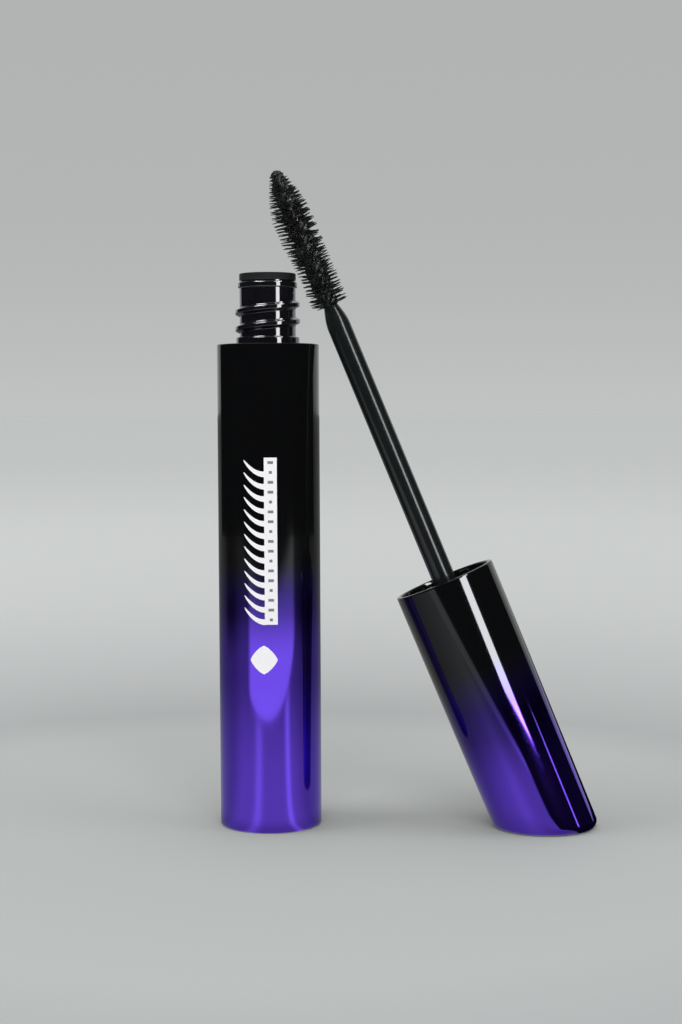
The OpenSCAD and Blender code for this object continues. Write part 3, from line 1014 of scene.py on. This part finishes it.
    def stem(self) -> Mesh:
        """Stem: barbed root, shaft and a tapered end whose radius is end + (full - end) sin(90 t)."""
        root_s = self.seal_s - 0.05 - self.root_length
        root_r, shaft_r, end_r = self.root_diameter / 2, self.stem_diameter / 2, self.stem_end / 2
        middle = root_s + self.root_length / 2
        root_top = root_s + self.root_length - self.tube.press_gap
        t = np.linspace(0, 1, 15)
        taper = np.column_stack([end_r + (shaft_r - end_r) * np.sin(np.pi / 2 * (1 - t)),
                                 self.brush_s - self.taper + (self.taper - 0.15) * t])
        plug_r = self.core / 2 + self.tube.press_gap
        mesh = Mesh()
        lathe(mesh, outline(
            (0.0, root_s), (root_r - 0.2, root_s), (root_r, root_s + 0.2), (root_r, middle - 0.4),
            (root_r + self.barb_out, middle + 0.4), (root_r, middle + 0.4), (root_r, root_top),
            (shaft_r, root_top),
            span((shaft_r, root_top + 0.2), (shaft_r, self.brush_s - self.taper - 0.1), 16),
            taper[:-1], arc((end_r - 0.15, self.brush_s - 0.15), 0.15, 0, 90, 4), (plug_r, self.brush_s),
            (plug_r, self.brush_s - self.core_depth), (0.0, self.brush_s - self.core_depth)), segments=96)
        return mesh

    def brush_r(self, from_tip: Array) -> Array:
        """Radius over the bristles: tip + (full - tip) sin(90 d / point) at a distance d from the tip."""
        share = np.minimum(from_tip, self.brush_point) / self.brush_point
        return self.brush_tip / 2 + (self.brush_diameter - self.brush_tip) / 2 * np.sin(np.pi / 2 * share)

    def carrier_r(self, from_tip: Array) -> Array:
        """Radius of the carrier between its bristles, which shrinks with the brush at its tip."""
        return np.minimum(self.hub / 2, 0.62 * self.brush_r(from_tip))

    def carrier(self, mesh: Mesh) -> None:
        """Sleeve that the bristles stand on, uneven with product and rounded at its tip."""
        gap = self.tube.press_gap
        bore, end = self.core / 2 + gap, self.brush_length - 2.0 + gap
        nose_length = 0.9
        nose_s = self.brush_length - nose_length
        s = np.linspace(0.3, nose_s, 150)
        body = np.column_stack([self.carrier_r(self.brush_length - s), s])
        nose = arc((0.0, 0.0), 1.0, 0, 90, 10)[1:] * np.array([body[-1, 0], nose_length])
        nose += np.array([0.0, nose_s])
        nose[-1, 0] = 0.0
        profile = outline((0.0, end), (bore, end), (bore, gap), (self.stem_end / 2, gap), body, nose)
        field_of = lumps(SEED, 26, 2.6, 0.7)

        def uneven(angles: Array, radii: Array, heights: Array) -> Array:
            """Swells the outside by up to a quarter of a millimetre of product."""
            points = np.stack([radii * np.cos(angles), radii * np.sin(angles), heights], -1)
            outside = (radii > bore + 0.05) & (heights > gap + 0.1) | (heights > end + 0.2)
            fade = smooth_step(0.0, 1.5, heights)
            grown = radii * (1 + 0.14 * field_of(points) * fade + 0.10 * fade)
            return np.where(outside & (radii > 0), np.minimum(grown, 0.98 * self.brush_diameter / 2), radii)

        lathe(mesh, profile, uneven, 128)

    def bristles(self, mesh: Mesh) -> None:
        """Adds every bristle as a six-sided cone on four rings.

        A bristle grows from inside the carrier out to brush_r, and by up to belly_out more on the middle
        of the side that faces the tube. On that side it also tilts most towards the tip. Its radius falls
        from root to tip as 0.13 (1 - t)^0.8 + 0.06, give or take a tenth. Where product gathers, on the
        side away from the tube, bristles lean together in clumps and thicken along the axis.
        """
        draw = np.random.default_rng(SEED)
        rows = int((self.brush_length - self.first_row) / self.row_pitch)
        row, place = np.meshgrid(np.arange(rows), np.arange(self.bristles_per_row), indexing="ij")
        row, place = row.ravel(), place.ravel()
        number = row.size
        angle = 2 * np.pi * (place + 0.5 * (row % 2)) / self.bristles_per_row + draw.normal(0, 0.05, number)
        s = self.first_row + row * self.row_pitch + draw.normal(0, 0.05, number)
        from_tip = self.brush_length - s
        out = self.brush_r(from_tip) * draw.uniform(0.93, 1.0, number)
        start = self.carrier_r(from_tip) - 0.3
        away = 0.5 - 0.5 * np.cos(angle)
        belly = smooth_step(1.0, 9.0, from_tip) * (1 - smooth_step(12.0, 19.0, from_tip))
        out = out + self.belly_out * away * belly
        slope = 0.24 * away + draw.normal(0.0, 0.07, number)
        facing = smooth_step(0.25, 0.85, np.cos(angle))
        gathered = facing * smooth_step(6.5, 8.0, from_tip) * (1 - smooth_step(14.0, 15.5, from_tip))
        target = (np.floor(s / self.clump_pitch) + 0.5) * self.clump_pitch
        t = np.linspace(0, 1, 4)[None, :]
        reach = (out - start)[:, None] * t
        centre_s = s[:, None] + slope[:, None] * reach
        centre_s += (target - s)[:, None] * 0.8 * gathered[:, None] * t
        thick = draw.uniform(0.9, 1.15, number)[:, None] * (0.13 * (1 - t) ** 0.8 + 0.06)
        along = thick * (1 + 0.3 * gathered[:, None])
        corner = np.linspace(0, 2 * np.pi, 6, endpoint=False)
        radial = start[:, None] + reach
        around = thick[..., None] * np.cos(corner)
        a = angle[:, None, None]
        x = radial[..., None] * np.cos(a) - around * np.sin(a)
        y = radial[..., None] * np.sin(a) + around * np.cos(a)
        z = centre_s[..., None] + along[..., None] * np.sin(corner)
        rings = np.stack([x, y, z], -1).reshape(number, -1, 3)
        ends_r = np.stack([radial[:, -1] + 0.06, radial[:, 0]], 1)
        ends_s = np.stack([centre_s[:, -1], centre_s[:, 0]], 1)
        turn = angle[:, None]
        tip_and_foot = np.stack([ends_r * np.cos(turn), ends_r * np.sin(turn), ends_s], -1)
        points = np.concatenate([rings, tip_and_foot], 1)
        size = points.shape[1]
        offset = (np.arange(number) * size)[:, None, None]
        quads = grid_quads(4, 6, False, True)[:, ::-1][None] + offset
        ring = np.arange(6)
        after = (ring + 1) % 6
        caps = np.vstack([np.column_stack([18 + ring, 18 + after, np.full(6, 24)]),
                          np.column_stack([after, ring, np.full(6, 25)])])
        mesh.add(points.reshape(-1, 3), quads.reshape(-1, 4), (caps[None] + offset).reshape(-1, 3))

    def brush(self) -> Mesh:
        """Carrier and bristles, on the applicator's axis."""
        part = Mesh()
        self.carrier(part)
        self.bristles(part)
        part.points = [points + np.array([0.0, 0.0, self.brush_s]) for points in part.points]
        return part

    def build(self, lacquer: bpy.types.Material) -> None:
        """Builds and dresses every piece of the applicator."""
        liner = MouldedPlastic("black_liner", (0.012, 0.011, 0.014), 0.25, 0.3, 0.006).material()
        rubber = MouldedPlastic("seal_elastomer", (0.035, 0.035, 0.04), 0.6, 0.15, 0.01).material()
        gloss = MouldedPlastic("satin_stem", (0.006, 0.008, 0.008), 0.2, 0.4, 0.006, 0.25).material()
        product = WetProduct("product_on_bristles").material()
        for name, mesh, material, body, slot, node in (
            ("lacquered_cap", self.shell(), lacquer, Body.APPLICATOR, Slot.LACQUER, "cap_shell"),
            ("cap_liner", self.liner(), liner, Body.APPLICATOR, Slot.LINER, "inner_cap"),
            ("closing_ring", self.ring(), rubber, Body.SEAL, Slot.SEAL, "seal_ring"),
            ("wand_stem", self.stem(), gloss, Body.APPLICATOR, Slot.STEM, "stem"),
            ("moulded_brush", self.brush(), product, Body.APPLICATOR, Slot.BRISTLE, "bristle_sleeve"),
        ):
            Finished(mesh.make(name, self.lean_over), material, body, slot, (node,)).hand_over()
        dress_node("brush_core", MouldedPlastic("core_plastic", (0.01, 0.01, 0.011), 0.35).material())


# ---------------------------------------------------------------- studio


@dataclass
class Camera:
    """The camera, by its place, its turn and its focal length."""

    place: tuple[float, float, float] = (36.5, -302.4, 70.1)
    down: float = 3.31
    turn: float = 4.62
    roll: float = -0.28
    focal: float = 64.02
    sensor: float = 36.0

    def build(self) -> None:
        """Makes the camera. It looks along +Y, turned to the left, down and rolled by its angles."""
        data = bpy.data.cameras.new("camera")
        data.sensor_fit = "VERTICAL"
        data.sensor_width = data.sensor_height = self.sensor
        data.lens = self.focal
        data.clip_start, data.clip_end = 0.01, 60.0
        camera = bpy.data.objects.new("camera", data)
        bpy.context.scene.collection.objects.link(camera)
        camera.location = tuple(c * METRES_PER_MM for c in self.place)
        turned = (
            Matrix.Rotation(math.radians(self.turn), 4, "Z")
            @ Matrix.Rotation(math.radians(90.0 - self.down), 4, "X")
            @ Matrix.Rotation(math.radians(self.roll), 4, "Z")
        )
        camera.rotation_euler = turned.to_euler()
        bpy.context.scene.camera = camera


def reach_only(light: bpy.types.Object, names: tuple[str, ...]) -> None:
    """Lets a light, or a card that glows, reach the named pieces and no others."""
    reached = bpy.data.collections.new(light.name + "_reaches")
    for name in names:
        reached.objects.link(bpy.data.objects[name])
    light.light_linking.receiver_collection = reached


class Sees(Enum):
    """Which rays a light reaches."""

    GLOSS = "gloss"
    DIFFUSE = "diffuse"


@dataclass(frozen=True)
class Softbox:
    """A rectangular light that faces the object, placed by its azimuth, distance and height.

    It faces level, or, when tilted, towards a point on the tube's axis at aim_height.
    """

    name: str
    azimuth: float
    distance: float
    height: float
    size: tuple[float, float]
    radiance: float
    sees: Sees
    tilted: bool = False
    only: tuple[str, ...] = ()
    aim_height: float = 50.0

    def build(self) -> None:
        """Makes the light, whose power is pi times its area times its radiance.

        With names in only, the light reaches those pieces and no others.
        """
        width, tall = (c * METRES_PER_MM for c in self.size)
        data = bpy.data.lights.new(self.name, "AREA")
        data.shape, data.size, data.size_y = "RECTANGLE", width, tall
        data.energy = math.pi * width * tall * self.radiance
        light = bpy.data.objects.new(self.name, data)
        bpy.context.scene.collection.objects.link(light)
        turn = math.radians(self.azimuth)
        place = Vector((math.sin(turn) * self.distance, -math.cos(turn) * self.distance, self.height))
        light.location = place * METRES_PER_MM
        level = self.aim_height if self.tilted else self.height
        aim = Vector((0.0, 0.0, level)) - place
        light.rotation_euler = aim.to_track_quat("-Z", "Y").to_euler()
        light.visible_camera = False
        light.visible_diffuse = self.sees is Sees.DIFFUSE
        light.visible_glossy = self.sees is Sees.GLOSS
        if self.only:
            reach_only(light, self.only)
        LOG.info("light %s", self.name)


@dataclass(frozen=True)
class PaintedFloorReflection:
    """Painted reflection of the floor for some pieces, a glowing card that only gloss sees: paper, a painted pool
    of light in front, painted highlight streaks, and the dark studio.

    Azimuths are in degrees about the upright at centre, from 0 in front to 90 on the right.
    """

    name: str
    reaches: tuple[str, ...]
    level: float
    centre: float
    pool: tuple[float, float]
    painted_pool_light: float
    pool_azimuths: tuple[float, float]
    dark: tuple[float, float]
    dark_right: float = 400.0
    streaks: tuple[tuple[float, float, float], ...] = ()
    streaks_until: float = 110.0
    paper: float = 0.545
    fade: float = 0.55

    def material(self) -> bpy.types.Material:
        """Builds the material, clear film with an emission, a painted reflection that is worked out from the place
        on the floor.

        A painted highlight streak is (azimuth, width, radiance) and is exp(-(offset / width)^2) high. The painted
        pool of light starts and ends at straight edges, the paper fades with the distance and, by painted shadow,
        at the sides, and past dark nothing glows.
        """
        shader = Shader(self.name)
        start = (self.centre, 0.0, 0.0)
        front = shader.along((0.0, -1.0, 0.0), start)
        right = shader.along((1.0, 0.0, 0.0), start)
        azimuth = right.turn(front) * (180.0 / math.pi)
        distance = (front * front + right * right).root()
        # Painted highlight streaks: the floor's sheen where it mirrors the strip lights, in front only.
        streaks: Any = 0.0
        for middle, width, height in self.streaks:
            offset = (azimuth - middle) / width
            streaks = (0.0 - offset * offset).power_of_e() * height + streaks
        near = 1.0 - front.step(self.streaks_until - 15.0, self.streaks_until + 15.0)
        # Painted shadow: the paper is darker beside the pieces, where they shade the floor from the side lights,
        # and darker still further out.
        beside = azimuth.absolute()
        far_side = distance.step(190.0, 320.0) * (1.0 - beside.step(98.0, 115.0))
        paper = 1.0 - beside.step(50.0, 88.0) * (far_side * 0.42 + 0.4)
        paper = paper * (1.0 - distance.step(40.0, 190.0) * self.fade) * self.paper
        # Painted pool of light on the floor in front, between two fronts and two azimuths.
        pool = front.step(self.pool[0] - 4.0, self.pool[0] + 4.0)
        pool = pool * (1.0 - front.step(self.pool[1] - 4.0, self.pool[1] + 4.0))
        pool = pool * azimuth.step(self.pool_azimuths[0] - 5.0, self.pool_azimuths[0] + 5.0)
        pool = pool * (1.0 - azimuth.step(self.pool_azimuths[1] - 5.0, self.pool_azimuths[1] + 5.0))
        # Painted dark reflection of the unlit studio: past dark in front, and right of dark_right, almost nothing
        # glows.
        lit = 1.0 - front.step(*self.dark) * 0.985
        lit = lit * (1.0 - azimuth.step(self.dark_right - 2.5, self.dark_right + 2.5))
        # Painted shade: the mirrored floor darkens near the pieces, where they stand on it.
        painted_contact_shade = distance.step(8.5, 21.0) * 0.36 + 0.64
        total = (paper + streaks * near + pool * self.painted_pool_light) * lit * painted_contact_shade
        shader.glow(total, clear=True)
        return shader.material


@dataclass
class Studio:
    """Pale floor, painted reflections of the floor and a painted dark studio in front for gloss only, soft lights
    and a pale world.
    """

    floor_half: float = 14000.0
    # The flag: a black wall that only gloss sees, a painted dark reflection of the unlit studio in front.
    flag_radius: float = 700.0
    flag_height: float = 1500.0
    flag_reach: float = 128.0
    # Painted floor reflections: glowing cards that only gloss sees, one for the tube's pieces and one for the
    # cap's.
    mirrored: tuple[PaintedFloorReflection, ...] = (
        PaintedFloorReflection("painted_floor_reflection_tube", TUBE_PIECES, -0.1, 0.0, (117.0, 2000.0), 0.86, (-40.0, 62.0),
                      (300.0, 480.0), streaks=((-18.5, 8.0, 0.42), (43.5, 5.5, 0.6))),
        PaintedFloorReflection("painted_floor_reflection_cap", CAP_PIECES, -0.2, 50.0, (106.0, 2000.0), 0.38, (-60.0, 400.0),
                      (143.0, 163.0), 14.0, ((-33.0, 13.0, 0.16),), paper=0.44, fade=0.1),
    )
    world: tuple[tuple[float, tuple[float, float, float]], ...] = (
        (0.5, (0.53, 0.545, 0.54)), (0.53, (0.475, 0.489, 0.483)), (0.56, (0.45, 0.463, 0.458)),
        (0.62, (0.44, 0.45, 0.45)), (0.75, (0.52, 0.53, 0.53)), (1.0, (0.85, 0.86, 0.86)))

    def _card(self, name: str, corners: list[tuple[float, float, float]],
              material: bpy.types.Material) -> bpy.types.Object:
        """Makes a four-cornered staged card."""
        mesh = bpy.data.meshes.new(name)
        mesh.from_pydata(np.array(corners) * METRES_PER_MM, [], [(0, 1, 2, 3)])
        mesh.materials.append(material)
        card = bpy.data.objects.new(name, mesh)
        bpy.context.scene.collection.objects.link(card)
        return card

    @staticmethod
    def _gloss_only(card: bpy.types.Object) -> None:
        """Leaves a staged card to be seen in gloss and nowhere else."""
        card.visible_camera = card.visible_diffuse = card.visible_shadow = card.visible_transmission = False

    @staticmethod
    def _painted_dark_sheet(name: str) -> bpy.types.Material:
        """Makes the black of the sheets that only gloss sees, which paint dark reflections."""
        return MouldedPlastic(name, (0.004, 0.004, 0.005), 0.9, specular=0.0).material()

    def _flag(self) -> None:
        """Makes the dark surround in front, an upright wall on an arc about the object that only gloss sees: a
        painted dark reflection of the unlit studio.
        """
        reach = math.radians(self.flag_reach)
        up, turn = np.meshgrid([-1.0, self.flag_height], np.linspace(-reach, reach, 65), indexing="ij")
        r = self.flag_radius
        grid = np.stack([r * np.sin(turn), -r * np.cos(turn), up], -1)
        mesh = bpy.data.meshes.new("painted_dark_flag")
        mesh.from_pydata(grid.reshape(-1, 3) * METRES_PER_MM, [], grid_quads(2, 65, False, False).tolist())
        mesh.materials.append(self._painted_dark_sheet("painted_dark_flag_sheet"))
        flag = bpy.data.objects.new("painted_dark_flag", mesh)
        bpy.context.scene.collection.objects.link(flag)
        self._gloss_only(flag)

    def _world(self) -> None:
        """Makes the pale world, whose tone follows the height of the view from the floor to overhead."""
        world = bpy.data.worlds.new("pale_studio")
        bpy.context.scene.world = world
        world.use_nodes = True
        tree = world.node_tree
        place = tree.nodes.new("ShaderNodeTexCoord")
        split = tree.nodes.new("ShaderNodeSeparateXYZ")
        span01 = tree.nodes.new("ShaderNodeMapRange")
        ramp = tree.nodes.new("ShaderNodeValToRGB")
        span01.inputs["From Min"].default_value = -1.0
        Shader.set_stops(ramp.color_ramp, list(self.world))
        tree.links.new(place.outputs["Generated"], split.inputs[0])
        tree.links.new(split.outputs["Z"], span01.inputs["Value"])
        tree.links.new(span01.outputs[0], ramp.inputs["Fac"])
        tree.links.new(ramp.outputs[0], tree.nodes["Background"].inputs["Color"])

    def build(self) -> None:
        """Makes the floor, the painted reflections that gloss sees in its place, the painted dark flag, the world
        and the lights.
        """
        half = self.floor_half
        flat = [(-half, -half, 0), (half, -half, 0), (half, half, 0), (-half, half, 0)]
        floor = self._card("studio_floor", flat, StudioPaper().material())
        floor.visible_glossy = False
        # Glowing cards in place of the floor for gloss: painted reflections.
        for mirrored in self.mirrored:
            corners = [(x, y, mirrored.level) for x, y, _ in flat]
            card = self._card(mirrored.name, corners, mirrored.material())
            self._gloss_only(card)
            reach_only(card, mirrored.reaches)
        # A black sheet under the clear cards, seen only in gloss: painted dark reflection wherever no card glows.
        under = self._card("dark_under", [(x, y, -0.3) for x, y, _ in flat], self._painted_dark_sheet("painted_dark_under_sheet"))
        self._gloss_only(under)
        self._flag()
        self._world()
        neck, stem = ("threaded_vial",), ("wand_stem",)
        cap = ("lacquered_cap", "cap_liner")
        for light in (
            Softbox("strip_cap", 48.0, 211.0, 234.0, (50.0, 400.0), 19.0, sees=Sees.GLOSS, only=cap),
            Softbox("strip_stem", 44.0, 211.0, 222.0, (50.0, 400.0), 6.5, sees=Sees.GLOSS, only=stem),
            Softbox("strip_neck", 48.0, 211.0, 222.0, (54.0, 400.0), 9.5, sees=Sees.GLOSS, only=neck),
            Softbox("strip_thin", 77.0, 400.0, 40.0, (12.0, 110.0), 3.0, sees=Sees.GLOSS, only=cap[:1]),
            Softbox("top_front", -42.0, 700.0, 1000.0, (1300.0, 330.0), 60.0, sees=Sees.GLOSS, tilted=True,
                    only=neck),
            Softbox("top_right", 78.0, 700.0, 1000.0, (260.0, 260.0), 60.0, sees=Sees.GLOSS, tilted=True,
                    only=neck),
            Softbox("brush_spark", 35.0, 700.0, 700.0, (330.0, 330.0), 26.0, sees=Sees.GLOSS, tilted=True,
                    only=("moulded_brush",)),
            Softbox("key_left", -75.0, 900.0, 700.0, (700.0, 700.0), 2.4, sees=Sees.DIFFUSE, tilted=True),
            Softbox("key_right", 80.0, 900.0, 600.0, (600.0, 600.0), 1.4, sees=Sees.DIFFUSE, tilted=True),
            Softbox("front_fill", 10.0, 1100.0, 800.0, (900.0, 700.0), 3.7, sees=Sees.DIFFUSE, tilted=True),
        ):
            light.build()


def main() -> None:
    """Builds the tube, its print, the applicator and the studio."""
    logging.basicConfig(level=logging.INFO, format="%(name)s: %(message)s")
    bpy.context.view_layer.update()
    record = frame["record"]
    stand = next(m for m in record["mounts"] if m["name"] == "cap_foot_face")["pos_m"]
    axis = next(j for j in frame["joints"] if j["name"] == "cap_turn")["axis"]
    stand_mm = tuple(c / METRES_PER_MM for c in stand)
    Camera().build()
    tube = Tube()
    tube.build(OmbreLacquer("ombre_casing", (0.0, 0.0, 0.0), (0.0, 0.0, 1.0), 28.0, 46.0).material())
    FrontPrint(tube.radius).build()
    applicator = Applicator(stand_mm, tuple(axis), tube)
    applicator.build(OmbreLacquer("ombre_cap", stand_mm, tuple(axis), 8.0, 31.0).material())
    Studio().build()
    bpy.context.scene.view_settings.view_transform = "Standard"
    bpy.context.scene.cycles.caustics_reflective = False


if __name__ == "__main__":
    main()
